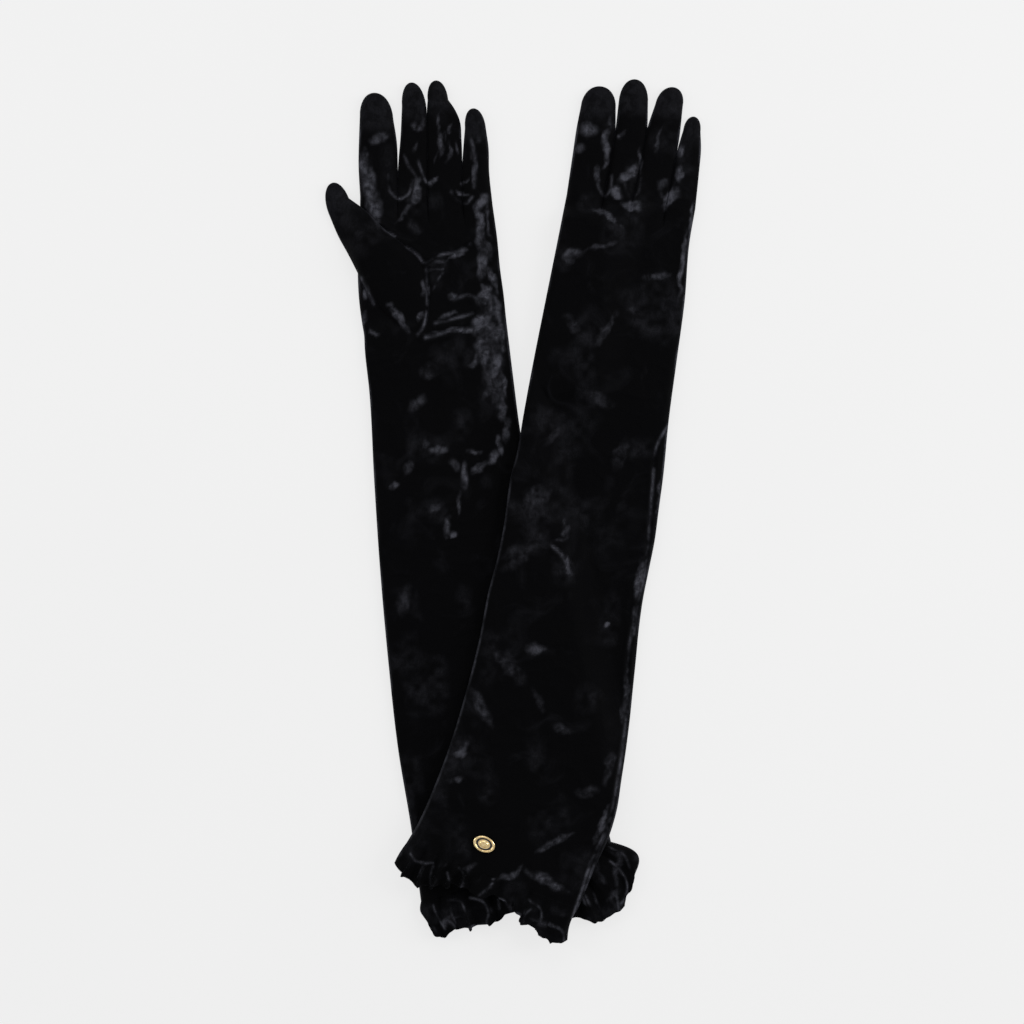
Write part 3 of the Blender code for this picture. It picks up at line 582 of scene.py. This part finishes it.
def finger_rings(glove, k, last_ring, skin, webs):
    """Rows of one finger, from the knuckle ring to its tip."""
    start, n = sum(COLUMNS[:k]), COLUMNS[k]
    top_ids, bottom_ids = (ids[start:start + n + 1] for ids in halves(last_ring))
    right_id = webs[k] if k < 3 else last_ring[ALL_COLUMNS + 1]
    left_id = webs[k - 1] if k > 0 else last_ring[-1]
    points = skin.joined()[0]
    stations, tip = glove["fingers"][k]
    tip = np.array(tip)
    grid = np.linspace(0, 1, SAMPLES)
    left = curve([points[top_ids[0]][:2]] + [s[:2] for s in stations], grid)
    right = curve([points[top_ids[-1]][:2]] + [s[2:] for s in stations], grid)
    length = length_of((left + right) / 2)
    e = crowded(np.arange(n + 1) / n, FINGER_CROWDING)
    body = max(12, int(length / FINGER_STEP))
    last = SAMPLES - 1
    pick = np.linspace(0, last, body + 1).astype(int)[1:]
    plan = [(left[i], right[i], 1.0, i / last * length) for i in pick]
    plan += [(a, b, full, length + past) for a, b, full, past in rounded_end(left[-1], right[-1], tip)]
    rows = [np.concatenate([top_ids, [right_id], bottom_ids[::-1], [left_id]])]
    for a, b, full, along in plan:
        x, y, d, width, across = row_across(a, b, e)
        z0 = lift(glove, x, y)
        height = lerp(HAND_HEIGHT, FINGER_HEIGHT, ramp(along, THINNER_PAST_KNUCKLES))
        open_left, open_right = parted(glove, k, along)
        levels = lerp(finger_levels(k, e), EDGE_LEVEL, lerp(open_left, open_right, (e + 1) / 2))
        rise = crown(d, width / 2, min(EDGE_RADIUS, 0.45 * width))
        calm = ramp(along - length, CALM_TIP)
        top = z0 + height * (levels + (1 - levels) * rise) + 0.8 * smooth(d / 3.0) * relief(glove, x, y, calm)
        low = z0 + FLOOR_GAP + height * UNDER_LEVEL * (1 - under(d))
        top, low = drawn_in(z0 + height * TIP_LEVEL, full, top, low)
        # Painted sheen and rim highlights; no rim highlight where a finger still touches its neighbour, and
        # an even painted sheen towards the tip.
        closed = np.where(e < 0, 1 - open_left, 1 - open_right)
        crush = lerp(with_painted_rim(glove, crushed(glove, x, y), x, y, d + 9.0 * closed), TIP_TONE, calm)
        rows.append(skin.add(ring(x, y, top, low, across, 0.25 * full), ring_tone(crush)))
    skin.rings(rows, FINGERS[k])
    tip_height = float(lift(glove, tip[:1], tip[1:])[0]) + TIP_LEVEL * FINGER_HEIGHT
    # The tip point gets the fingertip's even painted sheen.
    end = skin.add([[*tip, tip_height]], TIP_TONE)
    skin.cap(rows[-1], end[0], FINGERS[k])


def build_glove(glove):
    skin = Skin()
    last = build_hand(glove, skin)
    points = skin.joined()[0]
    top_ids, bottom_ids = halves(last)
    webs = []
    for j in np.cumsum(COLUMNS)[:-1]:
        middle = (points[top_ids[j]] + points[bottom_ids[j]]) / 2
        middle[1] += WEB_AHEAD
        # A little painted sheen at the web between two fingers.
        webs.append(skin.add([middle], 0.1)[0])
    for k in range(4):
        finger_rings(glove, k, last, skin, webs)
    return skin


def vertex_normals(points, faces):
    normals = np.zeros_like(points)
    for size in (3, 4):
        f = np.array([face for face in faces if len(face) == size], int)
        if not len(f):
            continue
        across = np.cross(points[f[:, 2]] - points[f[:, 0]], points[f[:, -1]] - points[f[:, 1]])
        for i in range(size):
            np.add.at(normals, f[:, i], across)
    return normals / np.maximum(np.linalg.norm(normals, axis=1), 1e-12)[:, None]


def make_object(name, points, faces, mat, crush=None, normals=None):
    mesh = bpy.data.meshes.new(name)
    mesh.from_pydata((np.asarray(points) * MM).tolist(), [], [tuple(int(i) for i in f) for f in faces])
    mesh.shade_smooth()
    # Per point, how much painted sheen the velvet material lays into the colour.
    if crush is not None:
        attribute = mesh.attributes.new("crush", "FLOAT", "POINT")
        attribute.data.foreach_set("value", np.asarray(crush, np.float32))
    if normals is not None:
        mesh.normals_split_custom_set_from_vertices([tuple(n) for n in normals])
    mesh.materials.append(mat)
    obj = bpy.data.objects.new(name, mesh)
    bpy.context.scene.collection.objects.link(obj)
    return obj


def split_pieces(glove, skin, mat):
    """The hand and the four fingers as objects of their own, shaded with the whole skin's normals."""
    points, crush = skin.joined()
    normals = vertex_normals(points, skin.faces)
    pieces = {}
    for owner in ("hand",) + FINGERS:
        faces = [f for f, o in zip(skin.faces, skin.owner) if o == owner]
        used = np.unique(np.concatenate([np.array(f) for f in faces]))
        index = {int(v): i for i, v in enumerate(used)}
        faces = [tuple(index[int(v)] for v in f) for f in faces]
        pieces[owner] = make_object(f"{glove['name']}_{owner}_velvet", points[used], faces, mat, crush[used],
                                    normals[used])
    return pieces


def thicken(obj, thick, offset):
    solid = obj.modifiers.new("thickness", "SOLIDIFY")
    solid.thickness = thick * MM
    solid.offset = offset


# ---- thumbs ----
THUMB_COLUMNS = 40
THUMB_ROWS = 90
THUMB_RADIUS = 9.0  # how far in from its folded edges a thumb has turned level
TUCK = 1.0  # how far a set-in thumb's seam is sunk into its palm
DROOP = (-3.0, 19.0)  # (start, span) past the palm's edge, where the left thumb comes down to the table
THUMB_LEVELS_OUT = (0.2, 0.25)  # shares of its length: where its base no longer follows the palm's crown
THUMB_CALM_TIP = (0.8, 0.2)  # and where its folds end


def palm_level(x, y):
    """Height of the left glove's upper side inside its outline."""
    right = edge_x(LEFT, "right", y)
    left = edge_x(LEFT, "left", y)
    width = right - left
    d = np.clip(np.minimum(x - left, right - x), 0, None)
    rise = crown(d, width / 2, EDGE_RADIUS)
    return HAND_HEIGHT * (EDGE_LEVEL + (1 - EDGE_LEVEL) * rise) + 0.5 * noise(x * 1.2, y, 38, LEFT["seed"])


def thumb_piece(glove, mat):
    """The left thumb is set into the palm and droops over its edge; the right one lies under its palm."""
    spec = glove["thumb"]
    stations, tip = np.array(spec["stations"]), np.array(spec["tip"])
    grid, last = np.linspace(0, 1, SAMPLES), SAMPLES - 1
    left, right = curve(stations[:, :2], grid), curve(stations[:, 2:], grid)
    e = crowded(np.arange(THUMB_COLUMNS + 1) / THUMB_COLUMNS, 0.6)
    plan = [(left[i], right[i], 1.0, i / last) for i in np.linspace(0, last, THUMB_ROWS).astype(int)]
    plan += [(a, b, full, 1.0) for a, b, full, _ in rounded_end(left[-1], right[-1], tip)]
    skin, rows = Skin(), []
    for a, b, full, share in plan:
        x, y, d, width, across = row_across(a, b, e)
        rise = crown(d, width / 2, min(THUMB_RADIUS, 0.45 * width))
        calm = float(ramp(share, THUMB_CALM_TIP))
        if glove is LEFT:
            over = 1 - ramp(edge_x(LEFT, "left", y) - x, DROOP)
            bridge = float(ramp(share, THUMB_LEVELS_OUT))
            base = lerp(0.6, lerp(palm_level(x, y), HAND_HEIGHT, bridge) - TUCK, over)
            swell = lerp(2.6, THUMB_HEIGHT, smooth((share - 0.1) / 0.6)) * float(smooth(share / 0.12))
            seam = lerp(0.0, 0.36 * THUMB_HEIGHT, smooth((share - 0.55) / 0.35) + 0 * x)
            top = base + seam + (swell - seam) * rise + TUCK * rise * over
            low = np.minimum(base, base + seam * (1 - under(d)))
            low = lerp(low, base - 1.6, over * (1 - smooth((share - 0.5) / 0.3)))
            middle = base + 0.36 * THUMB_HEIGHT
        else:
            top = THUMB_HEIGHT * (EDGE_LEVEL + (1 - EDGE_LEVEL) * rise)
            low = FLOOR_GAP + THUMB_HEIGHT * UNDER_LEVEL * (1 - under(d))
            middle = TIP_LEVEL * THUMB_HEIGHT + 0 * x
        top = top + 0.6 * smooth(d / 4.0) * relief(glove, x, y, calm) * (0.4 if glove is RIGHT else 1.0)
        top, low = drawn_in(middle, full, top, low)
        if glove is RIGHT:
            top = np.minimum(top, THUMB_HEIGHT + 0.2)
        # Painted sheen in patches and along creases, evened out towards the tip.
        crush = lerp(crushed(glove, x, y), TIP_TONE, calm)
        rows.append(skin.add(ring(x, y, top, low, across, 0.3 * full), ring_tone(crush)))
    skin.rings(rows, "thumb")
    # The tip point gets the fingertip's even painted sheen.
    end = skin.add([[*tip, skin.joined()[0][rows[-1]][:, 2].mean()]], TIP_TONE)
    skin.cap(rows[-1], end[0], "thumb")
    points, crush = skin.joined()
    return make_object(f"{glove['name']}_thumb_velvet", points, skin.faces, mat, crush)


# ---- cuffs: frill, elastic and its casing ----
FRILL_COLUMNS = 330
FRILL_ROWS = 26
FRILL_THICK = 0.9
FRILL_SWING = 3.0  # how far the frill's upper side falls in its folds
FRILL_ROLL = 1.9  # how far its folds lean over sideways, and its lower side rises
CURL_RISE = 1.3  # of the hem's curled edges
LOOP_ENDS = (0.03, 0.97)  # shares across the cuff that the bands inside it reach


def cuff_line(glove, s, setback=0.0):
    """Upper and lower points of the cuff at shares s, setback millimetres into the sleeve."""
    u = np.array([setback / side_length(glove)])
    x, y, top, low, _ = hand_section(glove, u, s[None], np.array([setback]))
    return x[0], y[0], top[0], low[0]


def frill(glove, mat):
    """The gathered frill, from the cuff line (r = 0) to its hem (r = 1)."""
    s = 0.5 + 0.5 * crowded(np.linspace(0, 1, FRILL_COLUMNS + 1), 0.25)
    x0, y0, top0, low0 = cuff_line(glove, s)
    hem = curve(glove["hem"], s)
    gather = direction(x0, y0)
    down = np.array([gather[1], -gather[0]])
    phase = pucker_phase(glove, s)
    seed = glove["seed"]
    depth = 0.85 + 0.75 * noise(s * 8, 7, 1.0, seed + 70)
    crimp = np.abs(np.sin(math.pi * (2.3 * phase + 0.8 * noise(s * 11, 0, 1.0, seed + 75))))
    inside = smooth(np.minimum(s, 1 - s) / 0.06)
    bulge_left, bulge_right = glove["side_bulge"]
    bulge = bulge_right * s ** 6 - bulge_left * (1 - s) ** 6
    under_fold = FRILL_ROLL * depth * (1 - np.abs(np.sin(math.pi * (phase + 0.4)))) * inside
    rows = []
    skin = Skin()
    for r in np.linspace(0, 1, FRILL_ROWS + 1):
        bent = phase + 0.55 * r * noise(s * 7, 2.2 * r, 1.0, seed + 77)
        fold = np.abs(np.sin(math.pi * bent))
        wave = 0.75 * (1 - fold) ** 1.2
        wave += 0.45 * r * (1 - crimp) ** 1.5 * noise(s * 10, 2 * r, 1.0, seed + 76)
        roll = np.sin(2 * math.pi * bent) * FRILL_ROLL * depth * inside * smooth(r * 1.4)
        sideways = math.sin(math.pi * r) * bulge + roll
        ahead = 0.8 * smooth(r) * (fold - 0.5) * inside
        jitter = 1.2 * smooth(r) * inside
        x = lerp(x0, hem[:, 0], r) + gather[0] * sideways + down[0] * ahead
        y = lerp(y0, hem[:, 1], r) + gather[1] * sideways + down[1] * ahead
        x += jitter * noise(s * 40, 3 * r, 1.0, seed + 71)
        y += jitter * noise(s * 46, 3 * r, 1.0, seed + 72)
        z0 = lift(glove, x, y)
        swell = smooth(r * 1.6)
        puff = 0.8 * swell * math.sin(math.pi * min(1.0, r * 1.1))
        top = top0 - lift(glove, x0, y0) - swell * FRILL_SWING * depth * wave * inside + puff
        top += 0.5 * swell * noise(x, y, 5, seed + 73)
        curl = np.zeros(len(s))
        for points in glove["curls"]:
            curl = np.maximum(curl, np.exp(-(distance_to(points, x, y) / 0.8) ** 2))
        top += CURL_RISE * curl * swell
        low = np.maximum(low0 - lift(glove, x0, y0) + swell * under_fold, FRILL_THICK + 0.1)
        top = np.maximum(np.clip(top, 0, CUFF_HEIGHT), low + 1.6)
        # Painted highlights along the curled edges, broken up by noise, and on the crests of the folds.
        curl_sheen_breaks = np.clip(0.65 + 0.8 * noise(x, y, 4.0, seed + 78), 0.1, 1.1)
        crest = np.clip(1.1 * noise(x, y, 7, seed + 74), 0, 0.7) * swell
        crest *= np.exp(-((fold - 0.8) / 0.16) ** 2)
        crush = np.maximum(np.maximum(crushed(glove, x, y), 0.6 * crest), 0.62 * curl * curl_sheen_breaks)
        tone = ring_tone(np.clip(crush, 0, 1), 0.5)
        rows.append(skin.add(ring(x, y, z0 + top, z0 + low, gather, 0.3), tone))
    skin.rings(rows, "frill")
    points, crush = skin.joined()
    obj = make_object(f"{glove['name']}_frill_velvet", points, skin.faces, mat, crush)
    thicken(obj, FRILL_THICK, 1.0)
    return obj


def cuff_loop(glove, name, setbacks, inset, thick, mat):
    """A band inside the cuff that follows its folds."""
    first, last = LOOP_ENDS
    s = lerp(first, last, 0.5 + 0.5 * crowded(np.linspace(0, 1, 121), 0.5))
    skin, rows = Skin(), []
    for setback in np.linspace(*setbacks, 9):
        x, y, top, low = cuff_line(glove, s, setback)
        side = smooth(np.minimum(s - first, last - s) / first)
        middle = (top + low) / 2
        top, low = lerp(middle + 0.3, top - inset, side), lerp(middle - 0.3, low + inset, side)
        rows.append(skin.add(ring(x, y, top, low, direction(x, y)), 0.0))
    skin.rings(rows, name)
    obj = make_object(f"{glove['name']}_{name}_cloth", skin.joined()[0], skin.faces, mat)
    thicken(obj, thick, 0)
    return obj


# ---- plaque ----
PLAQUE_LENGTH, PLAQUE_WIDTH = 15.4, 10.8
PLAQUE_BASE = OVER_LOWER + 11.0 + 0.4  # on the upper glove, just clear of its pile
# (share of the radius, height) from the middle of the dome to the rim and round its edge
PLAQUE_PROFILE = (
    (0.0, 1.05), (0.12, 1.04), (0.24, 0.98), (0.33, 0.84), (0.38, 0.62), (0.4, 0.44), (0.43, 0.4),
    (0.55, 0.4), (0.66, 0.4), (0.72, 0.42), (0.745, 0.62), (0.775, 0.92), (0.82, 1.06),
    (0.87, 1.1), (0.92, 1.05), (0.97, 0.88), (1.00, 0.6), (1.00, 0.25), (0.985, 0.05), (0.96, 0.0))
ENAMEL_RINGS = range(6, 9)  # rings of the profile that are black enamel
PLAQUE_AROUND = 96


def plaque(metal, enamel):
    """A plain oval: a rolled rim round a sunk field of black enamel, with a low dome in the middle."""
    turn = 2 * math.pi * np.arange(PLAQUE_AROUND) / PLAQUE_AROUND
    c, s = math.cos(PLAQUE_TURN), math.sin(PLAQUE_TURN)
    skin, rows = Skin(), []
    for share, z in PLAQUE_PROFILE[1:]:
        x, y = share * PLAQUE_LENGTH / 2 * np.cos(turn), share * PLAQUE_WIDTH / 2 * np.sin(turn)
        xyz = (PLAQUE_AT[0] + x * c - y * s, PLAQUE_AT[1] + x * s + y * c, 0 * x + PLAQUE_BASE + z)
        rows.append(skin.add(np.stack(xyz, axis=1), 0.0))
    middle = [skin.add([[*PLAQUE_AT, PLAQUE_BASE + z]], 0.0)[0] for z in (PLAQUE_PROFILE[0][1], 0.0)]
    skin.cap(rows[0], middle[0], 0)
    for r, (inner, outer) in enumerate(zip(rows, rows[1:])):
        skin.rings([outer, inner], 1 if r in ENAMEL_RINGS else 0)
    skin.cap(rows[-1][::-1], middle[1], 0)
    obj = make_object("plaque_gold", skin.joined()[0], skin.faces, metal)
    obj.data.materials.append(enamel)
    obj.data.polygons.foreach_set("material_index", skin.owner)
    return obj


# ---- materials ----
class Graph:
    """Shorthand for a material's nodes. Sockets are given values or links, by name or number."""

    def __init__(self, name):
        self.mat = bpy.data.materials.new(name)
        self.mat.use_nodes = True
        self.tree = self.mat.node_tree
        self.shader = self.tree.nodes["Principled BSDF"]
        self.place = self.node("ShaderNodeTexCoord").outputs["Object"]

    def fill(self, node, sockets):
        for key, value in sockets.items():
            if isinstance(value, bpy.types.NodeSocket):
                self.tree.links.new(value, node.inputs[key])
            else:
                node.inputs[key].default_value = value

    def node(self, kind, sockets=None, **properties):
        n = self.tree.nodes.new(kind)
        for key, value in properties.items():
            setattr(n, key, value)
        self.fill(n, sockets or {})
        return n

    def feed(self, **sockets):
        """Fills the shader's own sockets; _ stands for the space in a name."""
        self.fill(self.shader, {key.replace("_", " "): value for key, value in sockets.items()})

    def noise(self, size, detail=3.0, rough=0.55, distortion=0.0, stretch=(1, 1, 1)):
        """Noise with features of about the given size in metres."""
        mapping = self.node("ShaderNodeMapping", {"Scale": stretch, "Vector": self.place})
        return self.node("ShaderNodeTexNoise", {
            "Vector": mapping.outputs["Vector"], "Scale": 1 / size, "Detail": detail, "Roughness": rough,
            "Distortion": distortion}).outputs["Fac"]

    def ranged(self, value, low, high, to_low=0.0, to_high=1.0):
        return self.node("ShaderNodeMapRange", {
            "Value": value, "From Min": low, "From Max": high, "To Min": to_low, "To Max": to_high},
            interpolation_type="SMOOTHSTEP").outputs["Result"]

    def maths(self, operation, a, b):
        return self.node("ShaderNodeMath", {0: a, 1: b}, operation=operation).outputs[0]

    def mix(self, factor, a, b):
        sockets = {"Factor": factor, 6: (*a, 1), 7: (*b, 1)}
        return self.node("ShaderNodeMix", sockets, data_type="RGBA").outputs[2]

    def bump(self, height, strength, distance, below=None):
        sockets = {"Height": height, "Strength": strength, "Distance": distance}
        if below is not None:
            sockets["Normal"] = below
        return self.node("ShaderNodeBump", sockets).outputs["Normal"]


VELVET_BLACK = (0.0007, 0.0007, 0.0010)
# Blue-grey colour of the painted sheen, where flattened pile would catch the light.
VELVET_PAINTED_SHEEN = (0.051, 0.052, 0.064)
VELVET_SHEEN = (0.74, 0.76, 0.92, 1)
CLOUD, PATCH, STREAK, PILE = 0.026, 0.0065, 0.0022, 0.00045  # sizes of the velvet's patterns, in metres


def velvet():
    """Black pile, dull where it stands up; where the pile lies flattened a faint blue-grey painted sheen
    lightens its colour and it is silkier, and faint clouds of painted sheen lie over the rest.
    """
    g = Graph("crushed_velvet")
    attribute = g.node("ShaderNodeAttribute", attribute_name="crush")
    patchy = g.noise(PATCH, 4.0, 0.60, 0.7)
    streaks = g.noise(STREAK, 4.0, 0.6, 0.8, (1.0, 0.45, 1.0))
    pile = g.noise(PILE, 2.0, 0.6)
    patches = g.ranged(patchy, 0.34, 0.60, 0.45, 1.25)
    broken = g.maths("MULTIPLY", patches, g.ranged(streaks, 0.32, 0.62, 0.70, 1.12))
    # Painted sheen from the mesh's per-point value, broken into patches and streaks.
    painted_patches = g.maths("MULTIPLY", attribute.outputs["Fac"], broken)
    # Faint clouds of the same painted sheen over the whole cloth.
    faint = g.maths("MULTIPLY", g.ranged(g.noise(CLOUD, 3.0, 0.55, 0.9), 0.54, 0.80), 0.055)
    amount = g.maths("MINIMUM", g.maths("ADD", painted_patches, faint), 1.0)
    speck = g.maths("MULTIPLY", amount, g.ranged(pile, 0.30, 0.70, 0.70, 1.15))
    normal = g.bump(streaks, 0.35, 0.0007, g.bump(pile, 0.25, 0.00025))
    g.feed(Base_Color=g.mix(speck, VELVET_BLACK, VELVET_PAINTED_SHEEN), Normal=g.bump(patchy, 0.45, 0.0012, normal),
           Roughness=g.ranged(amount, 0.0, 1.0, 0.78, 0.46), Specular_IOR_Level=0.035,
           Sheen_Weight=0.036, Sheen_Roughness=0.34, Sheen_Tint=VELVET_SHEEN)
    return g.mat


def woven(name, dark, light, thread, roughness):
    """Fine cross threads, each of the given size in metres."""
    g = Graph(name)
    threads = g.noise(thread, 1.0, 0.5, 0.0, (1.0, 0.12, 1.0))
    g.feed(Base_Color=g.mix(g.ranged(threads, 0.35, 0.65), dark, light), Normal=g.bump(threads, 0.5, 0.0003),
           Roughness=g.ranged(threads, 0.3, 0.7, roughness + 0.1, roughness))
    return g.mat


def gold():
    g = Graph("pale_gold")
    wear = g.noise(0.0016, 4.0, 0.6)
    g.feed(Base_Color=g.mix(g.ranged(wear, 0.35, 0.70), (0.78, 0.56, 0.26), (0.95, 0.78, 0.46)), Metallic=1.0,
           Roughness=g.ranged(wear, 0.3, 0.7, 0.16, 0.30), Normal=g.bump(g.noise(0.0005, 2.0), 0.12, 0.00008))
    return g.mat


def enamel():
    g = Graph("black_enamel")
    cloud = g.noise(0.0012, 3.0)
    g.feed(Base_Color=g.mix(cloud, (0.004, 0.004, 0.005), (0.012, 0.012, 0.014)),
           Roughness=g.ranged(cloud, 0.3, 0.7, 0.12, 0.24))
    return g.mat


# ---- floor, lights and camera ----
FLOOR_HALF = 40.0  # metres; its edge stays out of sight in low views
FLOOR_GLOW = 0.725
WORLD_LIGHT = 0.62
LENS, SENSOR = 85, 36  # of the camera, in millimetres
FRAME_WIDTH = 0.7025  # metres across the picture
FRAME_LEVEL = 0.010  # at this height
# (name, place, aim, width, height, power); no height: a square
SOFTBOXES = (("right_box", (1.5, 0.35, 0.95), (0, 0, 0), 0.6, 1.6, 15),
             ("left_box", (-1.6, 0.5, 1.1), (0, 0, 0), 0.6, 1.6, 9),
             ("top_box", (0.1, 1.5, 1.3), (0, 0.05, 0), 1.2, None, 9))


def stage():
    mesh = bpy.data.meshes.new("floor")
    corners = [(x * FLOOR_HALF, y * FLOOR_HALF, 0) for x, y in ((-1, -1), (1, -1), (1, 1), (-1, 1))]
    mesh.from_pydata(corners, [], [(0, 1, 2, 3)])
    g = Graph("pale_floor")
    grain = g.ranged(g.noise(0.35, 2.0), 0.3, 0.7)
    g.feed(Base_Color=g.mix(grain, (0.135, 0.135, 0.135), (0.14, 0.14, 0.14)), Emission_Color=(1, 1, 1, 1),
           Emission_Strength=FLOOR_GLOW, Roughness=0.9, Specular_IOR_Level=0.1)
    mesh.materials.append(g.mat)
    floor = bpy.data.objects.new("floor", mesh)
    bpy.context.scene.collection.objects.link(floor)


def lights_and_camera():
    scene = bpy.context.scene
    world = bpy.data.worlds.new("studio")
    world.use_nodes = True
    background = world.node_tree.nodes["Background"]
    background.inputs["Color"].default_value = (1, 1, 1, 1)
    background.inputs["Strength"].default_value = WORLD_LIGHT
    scene.world = world
    for name, place, aim, width, height, power in SOFTBOXES:
        light = bpy.data.lights.new(name, "AREA")
        light.energy = power
        light.size = width
        if height:
            light.shape = "RECTANGLE"
            light.size_y = height
        obj = bpy.data.objects.new(name, light)
        obj.location = place
        obj.rotation_euler = (Vector(aim) - Vector(place)).to_track_quat("-Z", "Y").to_euler()
        scene.collection.objects.link(obj)
    camera = bpy.data.cameras.new("camera")
    camera.lens = LENS
    camera.sensor_width = SENSOR
    obj = bpy.data.objects.new("camera", camera)
    obj.location = (0, 0, FRAME_WIDTH * LENS / SENSOR + FRAME_LEVEL)
    scene.collection.objects.link(obj)
    scene.camera = obj
    scene.view_settings.view_transform = "Standard"


# ---- the pair ----
def stands_for(obj, slot, *nodes):
    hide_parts(*nodes)


def finger_nodes(glove, k):
    name, finger = glove["name"], FINGERS[k]
    others = [FINGERS[i] for i in (k - 1, k + 1) if 0 <= i < len(FINGERS)]
    return ([f"{name}_{finger}_palm_panel", f"{name}_{finger}_back_panel"]
            + [f"{name}_{finger}_fourchette_to_{other}" for other in others])


def dress(glove, cloth, elastic, tape):
    """Makes one glove's pieces, parents the hand, the frill and the cuff bands to the glove's body, and hides
    the parts of model.glb that the pieces stand for.
    """
    name = glove["name"]
    body = f"{name}_glove"
    pieces = split_pieces(glove, build_glove(glove), cloth)
    hand = pieces["hand"]
    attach(hand, body)
    stands_for(hand, "black_velvet", f"{name}_palm_panel", f"{name}_back_panel")
    left, right = (curve(glove[side], np.array([1.0]))[0] for side in ("left", "right"))
    for k, finger in enumerate(FINGERS):
        obj, tip = pieces[finger], np.array(glove["fingers"][k][1])
        stands_for(obj, "black_velvet", *finger_nodes(glove, k))
        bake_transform(obj)
    obj = thumb_piece(glove, cloth)
    stands_for(obj, "black_velvet", f"{name}_thumb_outer_panel", f"{name}_thumb_inner_panel")
    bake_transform(obj)
    obj = frill(glove, cloth)
    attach(obj, body)
    stands_for(obj, "black_velvet", f"{name}_frill_palm_side", f"{name}_frill_back_side")
    # (piece, its edges' distances into the sleeve, gap to the velvet, thickness, material, slot)
    for part, setbacks, inset, thick, mat, slot in (
            ("elastic_casing", (1.5, 14.5), 1.0, 0.4, tape, "black_tape"),
            ("elastic_band", (4.0, 12.0), 1.7, 0.6, elastic, "black_elastic")):
        obj = cuff_loop(glove, part, setbacks, inset, thick, mat)
        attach(obj, body)
        stands_for(obj, slot, f"{name}_{part}")


def main():
    cloth = velvet()
    elastic = woven("woven_elastic", (0.010, 0.010, 0.011), (0.030, 0.030, 0.032), 0.0006, 0.75)
    tape = woven("satin_tape", (0.008, 0.008, 0.009), (0.022, 0.022, 0.025), 0.0004, 0.45)
    metal = gold()
    for glove in (LEFT, RIGHT):
        dress(glove, cloth, elastic, tape)
    badge = plaque(metal, enamel())
    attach(badge, "right_glove")
    stands_for(badge, "gold_metal", "plaque")
    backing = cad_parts["plaque_backing"]
    for slot in backing.material_slots:
        slot.material = metal
    stage()
    lights_and_camera()


main()
